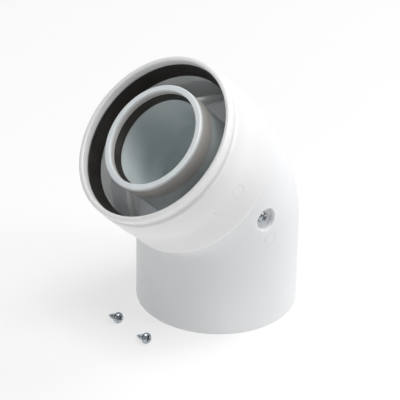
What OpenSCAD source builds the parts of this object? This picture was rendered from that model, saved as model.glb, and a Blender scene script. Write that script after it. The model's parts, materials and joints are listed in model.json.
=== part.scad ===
// Concentric flue elbow, 45 degrees. A white outer elbow carries the air and a plastic inner
// elbow carries the flue gas. Each has a plain spigot at the foot and a sealed socket at the top.
//
// Frame: the origin is the centre of the outer spigot's end face, +Z runs up the spigot's axis,
// and the socket leans towards +X. The two side screws lie along +Y and -Y.

/* [Spigots] */
// Outside diameter of the outer spigot
outer_spigot_d = 100; // [96:1:104]
// Outside diameter of the inner spigot
inner_spigot_d = 60; // [58:1:62]
// Straight length of the outer spigot
spigot_len = 52; // [46:1:60]
// How far the inner spigot stops short of the outer spigot's end
inner_recess = 1; // [0.5:0.5:3]
// Wall of the outer elbow
outer_wall = 2.5; // [2:0.1:2.8]
// Wall of the inner elbow
inner_wall = 2; // [1.6:0.1:2.2]

/* [Bend] */
// Angle between the two legs
bend_angle = 45; // [40:1:45]
// Bend radius of the centre line
bend_r = 55; // [53:1:60]

/* [Outer socket] */
// Length of the outer socket, from the weld line to its mouth
socket_len = 49; // [47:1:54]
// Outside diameter of the rounded lip at the mouth
lip_d = 107.8; // [107:0.1:108.6]
// Outside diameter of the seal collar
collar_d = 108.8; // [108.2:0.1:109.4]
// Outside diameter of the socket below the collar
socket_d = 108; // [107:0.1:108.1]
// Clearance of the guide bore round the pipe, on radius
guide_gap = 0.6; // [0.4:0.1:0.8]
// Depth at which the collar ends
collar_end = 25; // [22:1:27]

/* [Inner socket] */
// Outside diameter of the bulge round the inner seal
bulge_d = 68.4; // [68:0.1:69]
// Outside diameter of the inner socket below the bulge
inner_socket_d = 66; // [65.6:0.1:66.4]
// Depth of the inner socket, where the flue pipe stops
inner_socket_depth = 45; // [42:1:46]

/* [Seals] */
// How far the outer seal's lip stands inside the pipe's surface
outer_bite = 2.5; // [1.5:0.1:3]
// How far the inner seal's lip stands inside the pipe's surface
inner_bite = 0.9; // [0.5:0.1:1.2]

/* [Side screws] */
// Diameter of the round pocket that holds the screw's head
pocket_d = 14; // [13:0.5:15]
// Depth of the pocket's floor below the elbow's side
pocket_depth = 4.7; // [4:0.1:5]
// Angle round the bend at which the pocket lies
pocket_angle = 25; // [22:1:26]
// Distance of the pocket from the centre of the bend
pocket_r = 57.3; // [55:0.1:58]

/* [Screws] */
// Outside diameter of the thread
thread_d = 3.5; // [3.3:0.1:3.5]
// Length under the head
screw_len = 9.5; // [9:0.1:10]
// Diameter of the pan head
head_d = 7; // [6.6:0.1:7.4]
// Height of the pan head
head_h = 2.6; // [2.4:0.1:2.8]

/* [Loose screws] */
// Distance of the two loose screws in front of the spigot's axis
loose_x = 70.5; // [66:0.5:76]
// Place of the first loose screw's point along Y
loose_y_1 = -17.4; // [-22:0.1:-12]
// Place of the second loose screw's point along Y
loose_y_2 = 11.2; // [6:0.1:16]

/* [Hidden] */

$fn = 96;

white_plastic = [0.93, 0.94, 0.94];
grey_plastic = [0.62, 0.66, 0.68];
black_rubber = [0.06, 0.06, 0.06];
zinc = [0.55, 0.60, 0.66];

outer_r = outer_spigot_d / 2;
outer_bore_r = outer_r - outer_wall;
inner_r = inner_spigot_d / 2;
inner_bore_r = inner_r - inner_wall;

// Both elbows turn about the same axis, so the gap between them stays even.
tangent = bend_r * tan(bend_angle / 2);
leg_height = spigot_len + tangent;

// Levels in the socket: 0 is the mouth and negative is inwards.
seam = -socket_len;
lip_back = -4.6;
neck = -6.2;
collar_front = -8.2;
seal_front = -5.5;
seal_back = -15.5;
guide_back = -28;
stop = -46.5;
spacer_front = -29;
pipe_stop = -31;
inner_mouth = 0.7;
inner_seal_front = -4.4;
inner_seal_back = -10.2;
bulge_end = -11.6;

guide_r = outer_r + guide_gap;
seal_seat_r = outer_r + 2;
relief_r = guide_r + 0.8;
spacer_ir = outer_r + 0.3;
inner_guide_r = inner_r + 0.4;
inner_seat_r = inner_r + 2.3;
inner_socket_r = inner_socket_d / 2;
lap = 0.8;
lap_step = 0.4;

// Side pockets and the lugs of the inner elbow that stand under their floors.
floor_t = 2.5;
floor_out = outer_r - pocket_depth;
floor_in = floor_out - floor_t;
pocket_x = bend_r - pocket_r * cos(pocket_angle);
pocket_z = spigot_len + pocket_r * sin(pocket_angle);
lug_d = 9;
thread_gap = 0.05;

eps = 0.01;

// Points of an arc about [x, y], from angle a to angle b.
function arc(x, y, r, a, b, n = 6) =
    [for (i = [0:n]) let (t = a + (b - a) * i / n) [x + r * cos(t), y + r * sin(t)]];

// Places its children in the socket's frame, with the mouth at Z = 0 and +Z pointing out of it.
module at_mouth() {
    translate([0, 0, leg_height])
        rotate([0, bend_angle, 0])
            translate([0, 0, tangent + socket_len])
                children();
}

// Solid of the bend, of radius r, from the top of the spigot to the weld line.
module bend_sweep(r) {
    translate([bend_r, 0, spigot_len])
        rotate([90, 0, 180])
            rotate_extrude(angle = bend_angle)
                translate([bend_r, 0]) circle(r = r);
}

// Solid of the straight foot and the bend, of radius r, starting at level z.
module foot_and_bend(r, z) {
    translate([0, 0, z]) cylinder(r = r, h = spigot_len - z);
    bend_sweep(r);
}

// Places its children on a side screw's axis, with +Z pointing out of the elbow.
module at_side(y) {
    translate([pocket_x, y, pocket_z]) rotate([-90, 0, 0]) children();
}

module both_sides() {
    children();
    mirror([0, 1, 0]) children();
}

// Shallow ring left by the mould, cut into a face at Z = 0.
module mould_ring(d) {
    mark_w = 0.5;
    mark_depth = 0.25;
    translate([0, 0, -mark_depth])
        difference() {
            cylinder(d = d, h = 2);
            translate([0, 0, -1]) cylinder(d = d - 2 * mark_w, h = 4);
        }
}

module spigot_marks() {
    mark_w = 0.7;
    mark_h = 6.4;
    mark_bottom = 20;
    mark_depth = 0.3;
    for (a = [8.8, 23.9])
        rotate([0, 0, a])
            translate([outer_r - mark_depth, -mark_w / 2, mark_bottom])
                cube([2, mark_w, mark_h]);
}

// Outer elbow: the spigot, the bend and the two side pockets.
module outer_elbow_body() {
    chamfer = 0.6;
    pocket_wall = 2.5;
    boss_top = outer_bore_r + 0.5;
    color(white_plastic)
        difference() {
            union() {
                difference() {
                    foot_and_bend(outer_r, 0);
                    translate([0, 0, -1]) cylinder(r = outer_bore_r, h = spigot_len + 1);
                    bend_sweep(outer_bore_r);
                }
                both_sides()
                    at_side(floor_in)
                        cylinder(r = pocket_d / 2 + pocket_wall, h = boss_top - floor_in);
            }
            both_sides() {
                at_side(floor_out) cylinder(d = pocket_d, h = pocket_depth + 5);
                at_side(floor_in - 1) cylinder(r = thread_d / 2 + 2 * thread_gap, h = floor_t + 2);
            }
            difference() {
                translate([0, 0, -eps]) cylinder(r = outer_r + 1, h = chamfer + eps);
                translate([0, 0, -eps])
                    cylinder(r1 = outer_r - chamfer, r2 = outer_r + eps, h = chamfer + 2 * eps);
            }
            translate([0, outer_r, 61.6]) rotate([-90, 0, 0]) mould_ring(8.4);
            spigot_marks();
        }
}

// Outline of the outer socket's wall, as radius and level.
function socket_outline() = concat(
    [[outer_bore_r, seam], [outer_r, seam]],
    arc(socket_d / 2 - 4, seam + 4.4, 4, -70, 0, 6),
    [[socket_d / 2, -collar_end - 0.4], [collar_d / 2, -collar_end]],
    arc(collar_d / 2 - 1, collar_front - 1, 1, 0, 70, 4),
    arc(collar_d / 2 - 0.4, neck, 1, 230, 150, 4),
    arc(lip_d / 2 - 1.2, lip_back + 1.2, 1.2, -60, 0, 4),
    arc(lip_d / 2 - 1.6, -1.6, 1.6, 0, 90, 6),
    arc(guide_r + 1, -1, 1, 90, 180, 5),
    [[guide_r, seal_front], [seal_seat_r, seal_front], [seal_seat_r, seal_back],
     [guide_r, seal_back], [guide_r, guide_back], [relief_r, guide_back - 0.8],
     [relief_r, stop], [outer_bore_r, stop]]);

// Outer socket: the second moulding, welded to the bend at the seam.
module outer_socket() {
    gate_angle = 17.4;
    color(white_plastic)
        at_mouth()
            difference() {
                rotate_extrude() polygon(socket_outline());
                translate([-1.4, socket_d / 2, -29.1]) rotate([-90, 0, 0]) mould_ring(8.4);
                rotate([0, 0, 90 - gate_angle])
                    translate([collar_d / 2 - 0.8, 0, -collar_end - 0.8])
                        rotate([0, 90, 0]) cylinder(r = 0.8, h = 2);
            }
}

// Lip seal of the outer socket. Its lip leans inwards and ends in a short round land.
module outer_lip_seal() {
    lip_r = outer_r - outer_bite;
    color(black_rubber)
        at_mouth()
            rotate_extrude()
                polygon(concat(
                    [[seal_seat_r, seal_front], [seal_seat_r, seal_back],
                     [outer_r + 0.8, seal_back], [outer_r + 0.4, -12.4],
                     [lip_r + 0.9, seal_back + 0.4], [lip_r, seal_back + 0.6],
                     [lip_r, seal_back + 2]],
                    arc(outer_r + 1.2, seal_front - 1.2, 1.2, 180, 90, 4)));
}

// Outline of a finger, as radius and level. A broad foot steadies the inner socket, the blade thins
// outwards, and the ledge at its root stops the outer pipe.
function finger_outline() =
    let (foot_r = inner_socket_r + 0.05, ledge_r = outer_bore_r - 0.2, root_r = spacer_ir + 0.4)
    [[foot_r, -11.6], [35.5, -14.6], [38.5, -19.2], [41.5, -23.8], [44.5, -28],
     [ledge_r, pipe_stop], [root_r, pipe_stop], [root_r, -40], [ledge_r, -35.5],
     [43, -28.8], [40, -25.6], [36.5, -22.2], [foot_r, -19]];

// Centring spacer: a thin sleeve in the outer socket, with two fingers that hold the inner socket.
module centring_spacer() {
    sleeve_or = relief_r - 0.05;
    finger_w = 4.6;
    edge = 0.3;
    color(white_plastic)
        at_mouth() {
            rotate_extrude()
                polygon([[spacer_ir, stop], [sleeve_or, stop], [sleeve_or, spacer_front],
                         [spacer_ir + edge, spacer_front], [spacer_ir, spacer_front - edge]]);
            for (a = [0, 180])
                rotate([90, 0, a])
                    translate([0, 0, -finger_w / 2])
                        linear_extrude(finger_w) polygon(finger_outline());
        }
}

// Outline of the inner socket's wall, as radius and level. Its foot laps the end of the bend, and
// stands a step outside it.
function inner_outline() = concat(
    [[inner_bore_r + lap_step, seam - lap], [inner_r + lap_step, seam - lap],
     [inner_socket_r, -inner_socket_depth - 1.5],
     [inner_socket_r, bulge_end - 1], [bulge_d / 2, bulge_end]],
    arc(bulge_d / 2 - 2.4, inner_mouth - 3.4, 2.4, 0, 75, 6),
    arc(inner_r + 1.4, inner_mouth - 0.9, 0.9, 60, 120, 4),
    [[inner_r + 0.5, inner_mouth - 1], [inner_r + 0.5, inner_seal_front],
     [inner_seat_r, inner_seal_front], [inner_seat_r, inner_seal_back],
     [inner_guide_r, inner_seal_back], [inner_guide_r, -inner_socket_depth],
     [inner_bore_r + lap_step, -inner_socket_depth - 1.6]]);

// Inner elbow: one moulding, with a lug on each side that takes a side screw.
module inner_elbow() {
    lug_root = inner_r - 1.4;
    color(grey_plastic)
        difference() {
            union() {
                difference() {
                    foot_and_bend(inner_r, inner_recess);
                    translate([0, 0, -1]) cylinder(r = inner_bore_r, h = spigot_len + 1);
                    bend_sweep(inner_bore_r);
                }
                at_mouth() rotate_extrude() polygon(inner_outline());
                both_sides() at_side(lug_root) cylinder(d = lug_d, h = floor_in - lug_root);
            }
            both_sides()
                at_side(floor_out - screw_len - 1.5)
                    cylinder(r = thread_d / 2 + thread_gap, h = screw_len);
        }
}

// Lip seal of the inner socket.
module inner_lip_seal() {
    lip_r = inner_r - inner_bite;
    color(black_rubber)
        at_mouth()
            rotate_extrude()
                polygon(concat(
                    [[inner_seat_r, inner_seal_front], [inner_seat_r, inner_seal_back],
                     [inner_r + 1, inner_seal_back], [inner_r + 0.8, -8],
                     [lip_r + 0.5, inner_seal_back + 0.3], [lip_r, inner_seal_back + 0.5],
                     [lip_r, inner_seal_back + 1.9]],
                    arc(inner_r + 1.2, inner_seal_front - 0.6, 0.6, 180, 90, 3)));
}

// Outline of a screw, as radius and height. The head stands on Z = 0 and the point is below.
function screw_outline() =
    let (root = 0.74 * thread_d / 2, pitch = 1.3, point_h = 3.2, turns = 4,
         top = -0.5, r = thread_d / 2)
    concat(
        [[0, head_h]],
        [for (i = [1:7]) let (t = i / 7) [head_d / 2 * sin(80 * t), head_h - 1.8 * (1 - cos(80 * t))]],
        [[head_d / 2, 0.7], [head_d / 2 - 0.3, 0], [root, 0]],
        [for (i = [0:turns - 1], p = [[root, 0], [r, -0.45], [r, -0.6], [root, -1.05]])
            [p[0], top - i * pitch + p[1]]],
        [[root, point_h - screw_len], [1.15, point_h - screw_len - 0.4],
         [0.62, point_h - screw_len - 0.7], [0.85, point_h - screw_len - 1.5],
         [0.4, point_h - screw_len - 1.8], [0, -screw_len]]);

// Pan-head self-tapping screw with a cross recess.
module screw() {
    slot_w = 1;
    slot_l = 3.8;
    slot_depth = 1.5;
    color(zinc)
        difference() {
            rotate_extrude($fn = 48) polygon(screw_outline());
            for (a = [0, 90])
                rotate([0, 0, a])
                    translate([-slot_l / 2, -slot_w / 2, head_h - slot_depth])
                        cube([slot_l, slot_w, slot_depth + 1]);
        }
}

// A loose screw lies on a crest of its thread and the rim of its head, with the point towards -Y.
module lying_screw(y) {
    rim_h = 0.7;
    crest_r = thread_d / 2;
    crest_h = screw_len - 5;
    lean = atan((head_d / 2 - crest_r) / (screw_len + rim_h - crest_h));
    lift = crest_r * cos(lean) - crest_h * sin(lean);
    translate([loose_x, y, lift])
        rotate([lean - 90, 0, 0])
            translate([0, 0, screw_len])
                rotate([0, 0, 30]) screw();
}

module side_screw_left() {
    at_side(floor_out) screw();
}

module side_screw_right() {
    mirror([0, 1, 0]) at_side(floor_out) screw();
}

module loose_screw_1() {
    lying_screw(loose_y_1);
}

module loose_screw_2() {
    lying_screw(loose_y_2);
}

outer_elbow_body();
outer_socket();
outer_lip_seal();
centring_spacer();
inner_elbow();
inner_lip_seal();
side_screw_left();
side_screw_right();
loose_screw_1();
loose_screw_2();
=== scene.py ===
"""Concentric 60/100 flue elbow of 45 degrees: white shell, grey inner elbow, black lip seals, zinc screws."""
import json
import math

import bmesh
import bpy
from mathutils import Matrix, Vector


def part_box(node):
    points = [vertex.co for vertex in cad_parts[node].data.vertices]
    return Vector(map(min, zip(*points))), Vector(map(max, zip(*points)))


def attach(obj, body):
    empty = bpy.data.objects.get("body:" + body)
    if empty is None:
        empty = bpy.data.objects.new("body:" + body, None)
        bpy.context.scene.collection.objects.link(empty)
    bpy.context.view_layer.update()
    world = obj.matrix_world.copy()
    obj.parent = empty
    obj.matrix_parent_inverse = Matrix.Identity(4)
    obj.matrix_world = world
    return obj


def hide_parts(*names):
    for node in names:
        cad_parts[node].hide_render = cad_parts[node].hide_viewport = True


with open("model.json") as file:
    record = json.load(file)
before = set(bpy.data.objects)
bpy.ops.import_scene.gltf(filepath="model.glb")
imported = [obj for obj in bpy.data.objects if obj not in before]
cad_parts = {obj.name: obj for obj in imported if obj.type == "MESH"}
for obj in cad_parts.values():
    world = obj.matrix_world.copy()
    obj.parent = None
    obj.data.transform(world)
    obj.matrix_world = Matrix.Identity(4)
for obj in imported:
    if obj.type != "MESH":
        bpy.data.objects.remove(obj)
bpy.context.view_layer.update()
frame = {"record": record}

# Lengths are in millimetres until a mesh is made.
MM = 0.001

# ---------------------------------------------------------------- the elbow's frame, from the CAD
MOUNTS = {m["name"]: m for m in frame["record"]["mounts"]}
OUTER_R = MOUNTS["outer_spigot"]["dims"]["r_mm"]
INNER_R = MOUNTS["inner_spigot"]["dims"]["r_mm"]
SPIGOT_LEN = MOUNTS["outer_spigot"]["dims"]["length_mm"]
INNER_START = MOUNTS["inner_spigot"]["pos_m"][2] / MM
OUTER_BORE_R = OUTER_R - 2.5
INNER_BORE_R = INNER_R - 2
BEND_ANGLE = math.radians(45)
BEND_R = 55.0
SOCKET_LEN = 49.0
SEAM_S = SPIGOT_LEN + BEND_R * BEND_ANGLE
MOUTH_S = SEAM_S + SOCKET_LEN
SIDE = Vector((0, 1, 0))
BOTH_SIDES = (1, -1)


def node_box(node):
    low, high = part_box(node)
    return low / MM, high / MM


def on_path(s):
    """Centre, throat direction and forward direction at distance s along the elbow's centre line."""
    if s <= SPIGOT_LEN:
        return Vector((0, 0, s)), Vector((1, 0, 0)), Vector((0, 0, 1))
    turn = min((s - SPIGOT_LEN) / BEND_R, BEND_ANGLE)
    ahead = Vector((math.sin(turn), 0, math.cos(turn)))
    throat = Vector((math.cos(turn), 0, -math.sin(turn)))
    centre = Vector((BEND_R, 0, SPIGOT_LEN)) - BEND_R * throat
    rest = s - SPIGOT_LEN - BEND_R * turn
    return centre + rest * ahead, throat, ahead


def socket_frame():
    """Matrix from the socket's frame, where Z is 0 at the mouth and points out of it, to the row's."""
    centre, throat, ahead = on_path(MOUTH_S)
    axes = Matrix((throat, SIDE, ahead)).transposed().to_4x4()
    return Matrix.Translation(centre) @ axes


SOCKET = socket_frame()


def side_height(x, z):
    """How far out the outer elbow's side stands, over the point x, z of its plane of symmetry."""
    off = x if z <= SPIGOT_LEN else BEND_R - math.hypot(x - BEND_R, z - SPIGOT_LEN)
    return math.sqrt(max(OUTER_R ** 2 - off ** 2, 0))


# ---------------------------------------------------------------- mesh tools
def circle(count):
    """Angles of a full turn in equal steps."""
    return [2 * math.pi * k / count for k in range(count)]


def rounded(points, steps=5):
    """Closed outline from corners (radius, level, fillet), each corner turned with an arc."""
    out = []
    for i, (x, y, fillet) in enumerate(points):
        here = Vector((x, y))
        before = Vector(points[i - 1][:2]) - here
        after = Vector(points[(i + 1) % len(points)][:2]) - here
        half = before.angle(after) / 2
        reach = min(fillet / max(math.tan(half), 1e-6), 0.49 * before.length, 0.49 * after.length)
        if reach < 0.005:
            out.append(here)
            continue
        radius = reach * math.tan(half)
        middle = (before.normalized() + after.normalized()).normalized()
        centre = here + middle * radius / math.sin(half)
        start = here + before.normalized() * reach - centre
        end = here + after.normalized() * reach - centre
        sweep = math.atan2(start.x * end.y - start.y * end.x, start.dot(end))
        for k in range(steps + 1):
            turn = sweep * k / steps
            out.append(centre + Vector((start.x * math.cos(turn) - start.y * math.sin(turn),
                                        start.x * math.sin(turn) + start.y * math.cos(turn))))
    return out


def refined(outline, step=1.6):
    """The outline with its long edges split, so that a bent wall stays round."""
    out = []
    for a, b in zip(outline, outline[1:] + outline[:1]):
        parts = max(1, math.ceil(abs(b.y - a.y) / step))
        out += [a.lerp(b, k / parts) for k in range(parts)]
    return out


def new_object(name, bm):
    bmesh.ops.recalc_face_normals(bm, faces=bm.faces)
    mesh = bpy.data.meshes.new(name)
    bm.to_mesh(mesh)
    bm.free()
    obj = bpy.data.objects.new(name, mesh)
    bpy.context.scene.collection.objects.link(obj)
    return obj


def skin(bm, rings, closed):
    """Quads between rings of vertices. closed joins the last ring to the first."""
    pairs = list(zip(rings, rings[1:]))
    if closed:
        pairs.append((rings[-1], rings[0]))
    for a, b in pairs:
        for k in range(len(a)):
            j = (k + 1) % len(a)
            bm.faces.new((a[k], a[j], b[j], b[k]))


def loft(name, rings):
    """A solid through rings of vertex positions in millimetres, with a flat face on each end."""
    bm = bmesh.new()
    verts = [[bm.verts.new(p * MM) for p in ring] for ring in rings]
    skin(bm, verts, False)
    bm.faces.new(verts[0])
    bm.faces.new(verts[-1])
    return new_object(name, bm)


def swept_ring(name, outline, segments):
    """A tube's wall: the outline of (radius, distance along the centre line), carried round that line."""
    bm = bmesh.new()
    rings = []
    for p in refined(outline):
        centre, throat, _ = on_path(p.y)
        rings.append([bm.verts.new((centre + p.x * (math.cos(t) * throat + math.sin(t) * SIDE)) * MM)
                      for t in circle(segments)])
    skin(bm, rings, True)
    return new_object(name, bm)


def turned_ring(bm, radius, level, place, segments):
    return [bm.verts.new(place @ Vector((radius * math.cos(t), radius * math.sin(t), level)) * MM)
            for t in circle(segments)]


def lathe(name, outline, place, segments):
    """A ring-shaped solid: the closed outline of (radius, level) turned about Z and put in place."""
    bm = bmesh.new()
    skin(bm, [turned_ring(bm, p.x, p.y, place, segments) for p in outline], True)
    return new_object(name, bm)


def add_pole(bm, ring, level, place):
    """Closes a ring with triangles that meet on the axis."""
    pole = bm.verts.new(place @ Vector((0, 0, level)) * MM)
    for k in range(len(ring)):
        bm.faces.new((ring[k], ring[(k + 1) % len(ring)], pole))


def combine(obj, others, operation):
    """Applies boolean steps of one kind with the other objects, and removes them."""
    for other in others:
        mod = obj.modifiers.new("cut", "BOOLEAN")
        mod.operation = operation
        mod.solver = "EXACT"
        mod.object = other
    bake(obj)
    for other in others:
        bpy.data.objects.remove(other)
    return obj


def bake(obj):
    """Applies the object's modifiers."""
    graph = bpy.context.evaluated_depsgraph_get()
    mesh = bpy.data.meshes.new_from_object(obj.evaluated_get(graph))
    obj.modifiers.clear()
    old = obj.data
    obj.data = mesh
    bpy.data.meshes.remove(old)


def set_normals(obj, sharp=35):
    """Smooth shading in which long faces keep their shape beside small fillets."""
    obj.data.shade_smooth()
    obj.data.set_sharp_from_angle(angle=math.radians(sharp))
    mod = obj.modifiers.new("normals", "WEIGHTED_NORMAL")
    mod.keep_sharp = True
    bake(obj)


def place_piece(obj, body, look, node):
    """Finishes a piece and tells the frame which body moves it and which CAD node it replaces."""
    set_normals(obj)
    obj.data.materials.clear()
    obj.data.materials.append(look)
    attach(obj, body)
    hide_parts(node)


# ---------------------------------------------------------------- materials
def link(tree, a, a_out, b, b_in):
    tree.links.new(a.outputs[a_out], b.inputs[b_in])


def material(name, color, rough, **sockets):
    """A Principled material. Underscores in a keyword stand for spaces in the socket's name."""
    mat = bpy.data.materials.new(name)
    mat.use_nodes = True
    bsdf = mat.node_tree.nodes["Principled BSDF"]
    bsdf.inputs["Base Color"].default_value = (*color, 1)
    bsdf.inputs["Roughness"].default_value = rough
    for key, value in sockets.items():
        bsdf.inputs[key.replace("_", " ")].default_value = value
    return mat


def noise_node(tree, scale, detail):
    coords = tree.nodes.new("ShaderNodeTexCoord")
    noise = tree.nodes.new("ShaderNodeTexNoise")
    noise.inputs["Scale"].default_value = scale
    noise.inputs["Detail"].default_value = detail
    link(tree, coords, "Object", noise, "Vector")
    return noise


def mottle(mat, dark, light, scale):
    """Colour that drifts between two tints."""
    tree = mat.node_tree
    noise = noise_node(tree, scale, 3)
    ramp = tree.nodes.new("ShaderNodeValToRGB")
    stops = ramp.color_ramp.elements
    stops[0].position, stops[1].position = 0.35, 0.65
    stops[0].color, stops[1].color = (*dark, 1), (*light, 1)
    link(tree, noise, "Fac", ramp, "Fac")
    link(tree, ramp, "Color", tree.nodes["Principled BSDF"], "Base Color")
    return ramp


def grain(mat, scale, depth, rough_low, rough_high):
    """Fine bump, depth in metres, and roughness that varies with it."""
    tree = mat.node_tree
    bsdf = tree.nodes["Principled BSDF"]
    noise = noise_node(tree, scale, 4)
    bump = tree.nodes.new("ShaderNodeBump")
    bump.inputs["Strength"].default_value = 1
    bump.inputs["Distance"].default_value = depth
    spread = tree.nodes.new("ShaderNodeMapRange")
    spread.inputs["From Min"].default_value = 0.3
    spread.inputs["From Max"].default_value = 0.7
    spread.inputs["To Min"].default_value = rough_low
    spread.inputs["To Max"].default_value = rough_high
    link(tree, noise, "Fac", bump, "Height")
    link(tree, bump, "Normal", bsdf, "Normal")
    link(tree, noise, "Fac", spread, "Value")
    link(tree, spread, "Result", bsdf, "Roughness")


def white_moulding(name, tint):
    """Glossy white plastic that lets some light through its wall."""
    mat = material(name, tint, 0.3, Subsurface_Weight=0.7, Subsurface_Scale=0.004,
                   Subsurface_Radius=(1, 1, 1), Specular_IOR_Level=0.45)
    mottle(mat, [0.98 * c for c in tint], tint, 25)
    grain(mat, 900, 0.00001, 0.28, 0.38)
    return mat


def white_spacer():
    mat = material("white_spacer", (0.86, 0.87, 0.87), 0.45)
    mottle(mat, (0.82, 0.83, 0.84), (0.87, 0.88, 0.88), 60)
    grain(mat, 1200, 0.00001, 0.4, 0.5)
    return mat


def depth_tint(tree, reach, stops):
    """Tint by depth behind the mouth. Each stop is (share of the way out from the reach, colour)."""
    centre, _, ahead = on_path(MOUTH_S)
    mouth = centre.dot(ahead)
    coords = tree.nodes.new("ShaderNodeTexCoord")
    depth = tree.nodes.new("ShaderNodeVectorMath")
    depth.operation = "DOT_PRODUCT"
    depth.inputs[1].default_value = ahead
    spread = tree.nodes.new("ShaderNodeMapRange")
    spread.inputs["From Min"].default_value = (mouth - reach) * MM
    spread.inputs["From Max"].default_value = mouth * MM
    tint = tree.nodes.new("ShaderNodeValToRGB")
    elements = tint.color_ramp.elements
    elements[0].position, elements[1].position = stops[0][0], stops[1][0]
    for where, _ in stops[2:]:
        elements.new(where)
    for element, (_, color) in zip(elements, stops):
        element.color = (*color, 1)
    link(tree, coords, "Object", depth, 0)
    link(tree, depth, "Value", spread, "Value")
    link(tree, spread, "Result", tint, "Fac")
    return tint


def grey_polypropylene():
    """Translucent grey, with painted shade: a darker, warmer ring on the socket's wall where the black seal
    behind it keeps light from coming through.
    """
    mat = material("grey_polypropylene", (0.80, 0.85, 0.86), 0.35, Subsurface_Weight=0.4,
                   Subsurface_Scale=0.0018, Subsurface_Radius=(0.9, 1.0, 1.1))
    ramp = mottle(mat, (0.79, 0.83, 0.85), (0.85, 0.89, 0.91), 45)
    grain(mat, 800, 0.00001, 0.3, 0.42)
    tree = mat.node_tree
    # Painted shade: the seal stop tints the wall over the black seal darker and warmer, as less light passes
    # through it there; deeper in, the tint is a little darker than at the lip.
    body, seal, rim = (0.83, 0.86, 0.85), (0.66, 0.60, 0.56), (1, 1, 1)
    seal_shade_band = depth_tint(tree, 16, ((0.25, body), (0.29, seal), (0.86, seal), (0.96, rim)))
    mix = tree.nodes.new("ShaderNodeMix")
    mix.data_type = "RGBA"
    mix.blend_type = "MULTIPLY"
    mix.inputs[0].default_value = 1
    # Sockets 6 and 7 are a colour mix node's two colours, and output 2 is its result.
    link(tree, ramp, "Color", mix, 6)
    link(tree, seal_shade_band, "Color", mix, 7)
    link(tree, mix, 2, tree.nodes["Principled BSDF"], "Base Color")
    return mat


def black_seal():
    mat = material("black_seal", (0.02, 0.018, 0.016), 0.45, Specular_IOR_Level=0.4)
    mottle(mat, (0.017, 0.015, 0.013), (0.028, 0.025, 0.022), 90)
    grain(mat, 1500, 0.00002, 0.42, 0.6)
    return mat


def zinc_steel():
    mat = material("zinc_steel", (0.42, 0.47, 0.52), 0.25, Metallic=1.0)
    mottle(mat, (0.34, 0.39, 0.43), (0.52, 0.56, 0.60), 700)
    grain(mat, 4000, 0.000005, 0.18, 0.34)
    return mat


WHITE = white_moulding("white_moulding", (0.86, 0.87, 0.885))
WARM_WHITE = white_moulding("white_moulding_socket", (0.87, 0.875, 0.87))
SPACER = white_spacer()
GREY = grey_polypropylene()
BLACK = black_seal()
ZINC = zinc_steel()


# ---------------------------------------------------------------- places of the side screws
SCREW_LOW, SCREW_HIGH = node_box("side_screw_left")
SCREW_X = (SCREW_LOW.x + SCREW_HIGH.x) / 2
SCREW_Z = (SCREW_LOW.z + SCREW_HIGH.z) / 2
HEAD_H = 2.6
HEAD_R = (SCREW_HIGH.x - SCREW_LOW.x) / 2
FLOOR_OUT = SCREW_HIGH.y - HEAD_H
FLOOR_IN = FLOOR_OUT - 2.5
POCKET_R = 7.0


def along_side(sign):
    """Matrix from a Z axis to a side screw's axis, pointing out of the elbow."""
    turn = Matrix.Rotation(-sign * math.pi / 2, 4, "X")
    return Matrix.Translation((SCREW_X, 0, SCREW_Z)) @ turn


def rod(name, radius, low, high, sign, segments=64):
    """A round bar on a side screw's axis, from one distance off the plane of symmetry to another."""
    bm = bmesh.new()
    place = along_side(sign)
    rings = [turned_ring(bm, radius, level, place, segments) for level in (low, high)]
    skin(bm, rings, False)
    add_pole(bm, rings[0], low, place)
    add_pole(bm, rings[1], high, place)
    return new_object(name, bm)


# ---------------------------------------------------------------- marks left by the moulds
MARK_R = 3.95
MARK_LIFT = 0.08
MARK_GROOVE_R = 0.42


def across_of(along):
    """A unit vector at right angles to another."""
    aside = SIDE if abs(along.y) < 0.9 else Vector((1, 0, 0))
    return along.cross(aside).normalized()


def bar_ring(centre, along, radius, sides):
    across = across_of(along)
    up = across.cross(along)
    return [centre + radius * (math.cos(t) * across + math.sin(t) * up) for t in circle(sides)]


def mould_ring(on_surface):
    """A bent rod that cuts a round groove. on_surface gives a point on the surface, lifted a little."""
    points = [on_surface(MARK_R * math.cos(t), MARK_R * math.sin(t)) for t in circle(72)]
    bm = bmesh.new()
    rings = []
    for i, p in enumerate(points):
        along = (points[(i + 1) % len(points)] - points[i - 1]).normalized()
        rings.append([bm.verts.new(q * MM) for q in bar_ring(p, along, MARK_GROOVE_R, 12)])
    skin(bm, rings, True)
    return new_object("mark", bm)


def peg(name, start, along, levels, radius, sides):
    """A straight bar with narrowed ends, with a ring at each level along it."""
    last = len(levels) - 1
    rings = [bar_ring(start + along * level, along, radius if 0 < i < last else 0.4 * radius, sides)
             for i, level in enumerate(levels)]
    return loft(name, rings)


# ---------------------------------------------------------------- outer elbow body
def pocket_cutter(sign):
    """The pocket's space: a round well with a small rounded edge that follows the elbow's curved side."""
    edge = 0.35
    brim = POCKET_R + edge + 0.4
    sections = [(POCKET_R - 0.5, None, FLOOR_OUT), (POCKET_R, None, FLOOR_OUT + 0.5)]
    for k in range(7):
        turn = math.radians(15 * k)
        sections.append((POCKET_R + edge * (1 - math.cos(turn)), edge * (math.sin(turn) - 1), None))
    sections += [(brim, 0.6, None), (brim, None, OUTER_R + 6)]
    rings = []
    for radius, rise, level in sections:
        ring = []
        for turn in circle(96):
            x = SCREW_X + radius * math.cos(turn)
            z = SCREW_Z + radius * math.sin(turn)
            y = level if rise is None else side_height(x, z) + rise
            ring.append(Vector((x, sign * y, z)))
        rings.append(ring)
    return loft("pocket", rings)


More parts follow.
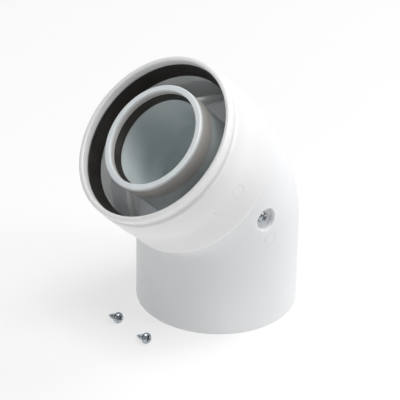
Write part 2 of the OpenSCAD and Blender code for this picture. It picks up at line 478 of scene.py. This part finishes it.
def make_outer_body():
    boss_r = POCKET_R + 2.5
    hole_r = 1.85
    mark_z = 61.6
    tick_angles = (8.8, 23.9)
    tick_levels = (20, 21, 23, 25.5, 26.5)
    tick_r = 0.45
    body = swept_ring("outer_elbow", rounded([
        (OUTER_BORE_R, 0, 0.4), (OUTER_R, 0, 0.7), (OUTER_R, SEAM_S, 0), (OUTER_BORE_R, SEAM_S, 0)]), 256)
    bosses = [rod("boss", boss_r, FLOOR_IN, OUTER_BORE_R + 0.9, sign) for sign in BOTH_SIDES]
    combine(body, bosses, "UNION")

    def on_body(a, b):
        return Vector((a, side_height(a, mark_z + b) + MARK_LIFT, mark_z + b))

    cutters = [pocket_cutter(sign) for sign in BOTH_SIDES]
    cutters += [rod("hole", hole_r, FLOOR_IN - 1, FLOOR_OUT + 1, sign) for sign in BOTH_SIDES]
    cutters.append(mould_ring(on_body))
    for angle in tick_angles:
        out = Vector((math.cos(math.radians(angle)), math.sin(math.radians(angle)), 0)) * (OUTER_R + 0.15)
        cutters.append(peg("tick", out, Vector((0, 0, 1)), tick_levels, tick_r, 16))
    combine(body, cutters, "DIFFERENCE")
    place_piece(body, "elbow", WHITE, "outer_elbow_body")


# ---------------------------------------------------------------- outer socket, levels from its mouth
SOCKET_R = 54.0
COLLAR_R = 54.4
LIP_R = 53.9
GUIDE_R = OUTER_R + 0.6
SEAL_SEAT_R = OUTER_R + 2
RELIEF_R = GUIDE_R + 0.8
SEAL_FRONT = -5.5
SEAL_BACK = -15.5
STOP = -46.5
COLLAR_END = -25.0


def make_outer_socket():
    mark_level = -29.1
    mark_shift = -1.4
    gate_angle = math.radians(90 - 17.4)
    gate_level = COLLAR_END - 0.8
    gate_r = 0.8
    socket = lathe("outer_socket_shell", rounded([
        (OUTER_BORE_R, -SOCKET_LEN, 0), (OUTER_R, -SOCKET_LEN, 0), (SOCKET_R, -SOCKET_LEN, 3.9),
        (SOCKET_R, COLLAR_END - 0.4, 0.2), (COLLAR_R, COLLAR_END, 0.3), (COLLAR_R, -8.2, 1.1),
        (53.2, -7.1, 0.5), (53.05, -5.5, 0.5), (LIP_R, -4.5, 0.9), (LIP_R, 0, 1.6), (GUIDE_R, 0, 1.0),
        (GUIDE_R, SEAL_FRONT, 0.15), (SEAL_SEAT_R, SEAL_FRONT, 0), (SEAL_SEAT_R, SEAL_BACK, 0),
        (GUIDE_R, SEAL_BACK, 0.15), (GUIDE_R, -28, 0.3), (RELIEF_R, -28.8, 0.2), (RELIEF_R, STOP, 0.3),
        (OUTER_BORE_R, STOP, 0.3)]), SOCKET, 288)

    def on_socket(a, b):
        around = (a + mark_shift) / SOCKET_R
        reach = SOCKET_R + MARK_LIFT
        return SOCKET @ Vector((reach * math.sin(around), reach * math.cos(around), mark_level + b))

    outward = Vector((math.cos(gate_angle), math.sin(gate_angle), 0))
    gate = SOCKET @ (COLLAR_R * outward + Vector((0, 0, gate_level)))
    gate_pin = peg("gate", gate, SOCKET.to_3x3() @ outward, (-0.8, -0.7, 1, 2), gate_r, 24)
    combine(socket, [mould_ring(on_socket), gate_pin], "DIFFERENCE")
    place_piece(socket, "elbow", WARM_WHITE, "outer_socket")


# ---------------------------------------------------------------- inner elbow, levels from the same mouth
INNER_SOCKET_R = INNER_R + 3
BULGE_R = INNER_R + 4.2
INNER_SEAT_R = INNER_R + 2.3
INNER_GUIDE_R = INNER_R + 0.4
INNER_MOUTH_R = INNER_R + 0.5
INNER_MOUTH = 0.7
INNER_SEAL_FRONT = -4.4
INNER_SEAL_BACK = -10.2
BULGE_END = -11.6


def make_inner_elbow():
    lug_r = 4.5
    pilot_r = 1.8
    spigot = [(INNER_BORE_R, INNER_START, 0.3), (INNER_R, INNER_START, 0.5)]
    socket = [
        (INNER_R, -49.5, 2), (INNER_SOCKET_R, STOP, 2), (INNER_SOCKET_R, BULGE_END - 1, 0.5),
        (BULGE_R, BULGE_END, 0.5), (BULGE_R, INNER_MOUTH, 0.9), (INNER_MOUTH_R, INNER_MOUTH, 0.4),
        (INNER_MOUTH_R, INNER_SEAL_FRONT, 0.1), (INNER_SEAT_R, INNER_SEAL_FRONT, 0),
        (INNER_SEAT_R, INNER_SEAL_BACK, 0), (INNER_GUIDE_R, INNER_SEAL_BACK, 0.1),
        (INNER_GUIDE_R, -42, 12), (INNER_BORE_R, -51, 12)]
    outline = rounded(spigot + [(r, MOUTH_S + level, fillet) for r, level, fillet in socket])
    body = swept_ring("inner_elbow_shell", outline, 224)
    lugs = [rod("lug", lug_r, INNER_R - 1.4, FLOOR_IN, sign) for sign in BOTH_SIDES]
    combine(body, lugs, "UNION")
    pilots = [rod("pilot", pilot_r, FLOOR_OUT - 11, FLOOR_OUT, sign, 32) for sign in BOTH_SIDES]
    combine(body, pilots, "DIFFERENCE")
    place_piece(body, "elbow", GREY, "inner_elbow")


# ---------------------------------------------------------------- seals
def make_outer_seal():
    lip = OUTER_R - 2.5
    seal = lathe("outer_seal", rounded([
        (SEAL_SEAT_R, SEAL_FRONT, 0), (SEAL_SEAT_R, SEAL_BACK, 0), (OUTER_R + 0.8, SEAL_BACK, 0.2),
        (OUTER_R + 0.4, -12.4, 0.4), (lip + 0.9, -15.1, 0.3), (lip, -14.9, 0.4), (lip, -13.5, 0.5),
        (OUTER_R, -6.9, 0.8), (OUTER_R + 0.2, SEAL_FRONT, 0.9)]), SOCKET, 256)
    place_piece(seal, "elbow", BLACK, "outer_lip_seal")


def make_inner_seal():
    lip = INNER_R - 0.9
    seal = lathe("inner_seal", rounded([
        (INNER_SEAT_R, INNER_SEAL_FRONT, 0), (INNER_SEAT_R, INNER_SEAL_BACK, 0),
        (INNER_R + 1, INNER_SEAL_BACK, 0.1), (INNER_R + 0.8, -8, 0.3), (lip + 0.5, -9.9, 0.2),
        (lip, -9.7, 0.3), (lip, -8.3, 0.4), (INNER_R + 0.5, -5.0, 0.4),
        (INNER_R + 0.7, INNER_SEAL_FRONT, 0.4)]), SOCKET, 192)
    place_piece(seal, "elbow", BLACK, "inner_lip_seal")


# ---------------------------------------------------------------- spacer
def smooth_line(points, parts=5):
    """A Catmull-Rom curve through the points, as a denser list."""
    out = []
    for i in range(len(points) - 1):
        a, b = points[i], points[i + 1]
        before, after = points[max(i - 1, 0)], points[min(i + 2, len(points) - 1)]
        for k in range(parts):
            t = k / parts
            out.append(0.5 * (2 * a + (b - before) * t + (2 * before - 5 * a + 4 * b - after) * t ** 2
                              + (3 * a - before - 3 * b + after) * t ** 3))
    return out + [points[-1]]


def finger(front, rear, side):
    """One finger: bars with rounded corners between a front and a rear line in the plane of symmetry."""
    half_width = 2.3
    edge = 0.5
    rings = []
    for a, b in zip(smooth_line(front), smooth_line(rear)):
        across = (b - a).normalized()
        half = (b - a).length / 2
        ring = []
        for quarter, (sx, sy) in enumerate(((1, 1), (-1, 1), (-1, -1), (1, -1))):
            for k in range(5):
                turn = math.radians(90 * quarter + 22.5 * k)
                along = sx * (half - edge) + edge * math.cos(turn)
                y = sy * (half_width - edge) + edge * math.sin(turn)
                p = (a + b) / 2 + across * along
                ring.append(SOCKET @ Vector((side * p.x, y, p.y)))
        rings.append(ring)
    return loft("finger", rings)


def make_spacer():
    front_level = -28.9
    sleeve_r = RELIEF_R - 0.05
    bore = OUTER_R + 0.3
    foot = INNER_SOCKET_R + 0.05
    ledge = OUTER_BORE_R - 0.2
    root = bore + 0.4
    spacer = lathe("spacer", rounded([
        (bore, STOP, 0.1), (sleeve_r, STOP, 0.1), (sleeve_r, front_level, 0.1), (bore, front_level, 0.1)]),
        SOCKET, 256)
    front = [Vector(p) for p in ((foot, BULGE_END), (35.5, -14.6), (38.5, -19.2), (41.5, -23.8),
                                 (44.5, -28), (ledge, -31), (root, -31))]
    rear = [Vector(p) for p in ((foot, -19), (36.5, -22.2), (40, -25.6), (43, -28.8), (45, -31.8),
                                (ledge, -35.5), (root, -40))]
    combine(spacer, [finger(front, rear, side) for side in BOTH_SIDES], "UNION")
    place_piece(spacer, "elbow", SPACER, "centring_spacer")


# ---------------------------------------------------------------- screws, heights from under the head
SCREW_LEN = 9.5
THREAD_R = 1.75
ROOT_R = 1.3
PITCH = 1.3
POINT_H = 3.2
HEAD_RIM_H = 0.7
CREST_H = 4.5


def thread_radius(z, turn):
    """Radius of the threaded shank at height z, and at an angle round it."""
    height = z + SCREW_LEN
    to_point = min(1, max(0, height / POINT_H))
    phase = (z / PITCH - turn / (2 * math.pi)) % 1 - 0.5
    ridge = max(0, 1 - max(0, abs(phase) - 0.05) / 0.24)
    under_head = min(1, max(0, (-0.3 - z) / 0.5))
    radius = ROOT_R * to_point ** 0.8 + (THREAD_R - ROOT_R) * ridge * under_head * min(1, to_point * 1.3)
    # A loose screw's point stays off the table that its crest and its head's rim rest on.
    clear_of_table = 0.33 + 0.3 * height
    return min(radius, clear_of_table)


def shank_ring(bm, z, place, around):
    ring = []
    for t in circle(around):
        r = thread_radius(z, t)
        ring.append(bm.verts.new(place @ Vector((r * math.cos(t), r * math.sin(t), z)) * MM))
    return ring


def head_outline():
    """Radius and height of the pan head, from its under face to near its top."""
    dome = [math.radians(a) for a in range(8, 89, 8)]
    under = [(HEAD_R - 0.35, 0.0), (HEAD_R - 0.22, 0.06), (HEAD_R - 0.12, 0.3), (HEAD_R, HEAD_RIM_H)]
    return under + [(HEAD_R * math.cos(a), HEAD_RIM_H + (HEAD_H - HEAD_RIM_H) * math.sin(a) ** 0.85)
                    for a in dome]


def recess_wing(place, turn):
    """One bar of the cross recess. It narrows towards its bottom."""
    spin = place @ Matrix.Rotation(turn, 4, "Z")
    bottom, top = (1.0, 0.32, HEAD_H - 1.7), (2.2, 0.5, HEAD_H + 0.4)
    corners = ((-1, -1), (1, -1), (1, 1), (-1, 1))
    return loft("recess", [[spin @ Vector((x * length, y * width, z)) for x, y in corners]
                           for length, width, z in (bottom, top)])


def screw_mesh(name, place):
    around, rows = 48, 150
    bm = bmesh.new()
    rings = [shank_ring(bm, -SCREW_LEN + SCREW_LEN * i / rows, place, around) for i in range(1, rows + 1)]
    rings += [turned_ring(bm, r, z, place, around) for r, z in head_outline()]
    skin(bm, rings, False)
    add_pole(bm, rings[0], -SCREW_LEN, place)
    add_pole(bm, rings[-1], HEAD_H, place)
    screw = new_object(name, bm)
    return combine(screw, [recess_wing(place, turn) for turn in (0, math.pi / 2)], "DIFFERENCE")


def make_side_screws():
    for sign, node in ((1, "side_screw_left"), (-1, "side_screw_right")):
        place = along_side(sign) @ Matrix.Translation((0, 0, FLOOR_OUT)) @ Matrix.Rotation(0.5, 4, "Z")
        place_piece(screw_mesh(node + "_threaded", place), node, ZINC, node)


def make_loose_screws():
    """Each lies on a crest of its thread and the rim of its head."""
    lean = math.atan((HEAD_R - THREAD_R) / (SCREW_LEN + HEAD_RIM_H - CREST_H))
    lift = THREAD_R * math.cos(lean) - (SCREW_LEN - 5) * math.sin(lean)
    for node, spin in (("loose_screw_1", 30), ("loose_screw_2", 65)):
        low, high = node_box(node)
        tip = Vector(((low.x + high.x) / 2, low.y, lift))
        place = (Matrix.Translation(tip) @ Matrix.Rotation(lean - math.pi / 2, 4, "X")
                 @ Matrix.Translation((0, 0, SCREW_LEN)) @ Matrix.Rotation(math.radians(spin), 4, "Z"))
        place_piece(screw_mesh(node + "_threaded", place), node, ZINC, node)


make_outer_body()
make_outer_socket()
make_inner_elbow()
make_outer_seal()
make_inner_seal()
make_spacer()
make_side_screws()
make_loose_screws()


# ---------------------------------------------------------------- stage, light, camera, in metres
def area_light(name, place, size, power):
    """A round soft light that points at the middle of the elbow."""
    data = bpy.data.lights.new(name, "AREA")
    data.shape = "DISK"
    data.size = size
    data.energy = power
    obj = bpy.data.objects.new(name, data)
    bpy.context.scene.collection.objects.link(obj)
    middle = Vector((0, 0, 0.07))
    obj.location = place
    obj.rotation_euler = (middle - Vector(place)).to_track_quat("-Z", "Y").to_euler()


def make_stage():
    bm = bmesh.new()
    bmesh.ops.create_grid(bm, x_segments=1, y_segments=1, size=4)
    floor = new_object("floor", bm)
    look = material("floor_white", (0.3, 0.3, 0.3), 0.9, Emission_Color=(1, 1, 1, 1), Emission_Strength=0.66)
    floor.data.materials.append(look)
    world = bpy.data.worlds.new("studio")
    bpy.context.scene.world = world
    world.use_nodes = True
    background = world.node_tree.nodes["Background"]
    background.inputs["Color"].default_value = (1, 1, 1, 1)
    background.inputs["Strength"].default_value = 0.14


def make_lights():
    area_light("key_right", (-0.75, 1.4, 1.6), 0.7, 10.5)
    area_light("overhead", (0.1, 0.1, 2.0), 1.0, 15)
    area_light("front_left", (1.0, 1.3, 0.9), 0.8, 1.5)
    area_light("back_right", (-1.4, 0.2, 1.3), 0.8, 12)
    area_light("front_top", (-0.35, 0.6, 1.9), 0.8, 8)


def make_camera():
    """The photo's view: how far round and up the camera stands, its tilt, its distance and its lens."""
    azimuth, elevation, roll = math.radians(141.34), math.radians(29.73), math.radians(1.03)
    distance = 1.44231
    shift_left, shift_up = 0.0109907, 0.0050075
    back = Vector((math.sin(azimuth) * math.cos(elevation), -math.cos(azimuth) * math.cos(elevation),
                   math.sin(elevation)))
    level = Vector((math.cos(azimuth), math.sin(azimuth), 0))
    upright = back.cross(level)
    right = math.cos(roll) * level + math.sin(roll) * upright
    up = -math.sin(roll) * level + math.cos(roll) * upright
    target = Vector((0, 0, 0.060))
    place = target + distance * back - shift_left * right + shift_up * up
    data = bpy.data.cameras.new("camera")
    data.sensor_width = 36.0
    data.lens = 211.529
    data.clip_start, data.clip_end = 0.05, 20
    cam = bpy.data.objects.new("camera", data)
    bpy.context.scene.collection.objects.link(cam)
    cam.matrix_world = Matrix.Translation(place) @ Matrix((right, up, back)).transposed().to_4x4()
    bpy.context.scene.camera = cam


make_stage()
make_lights()
make_camera()
bpy.context.scene.view_settings.view_transform = "Standard"
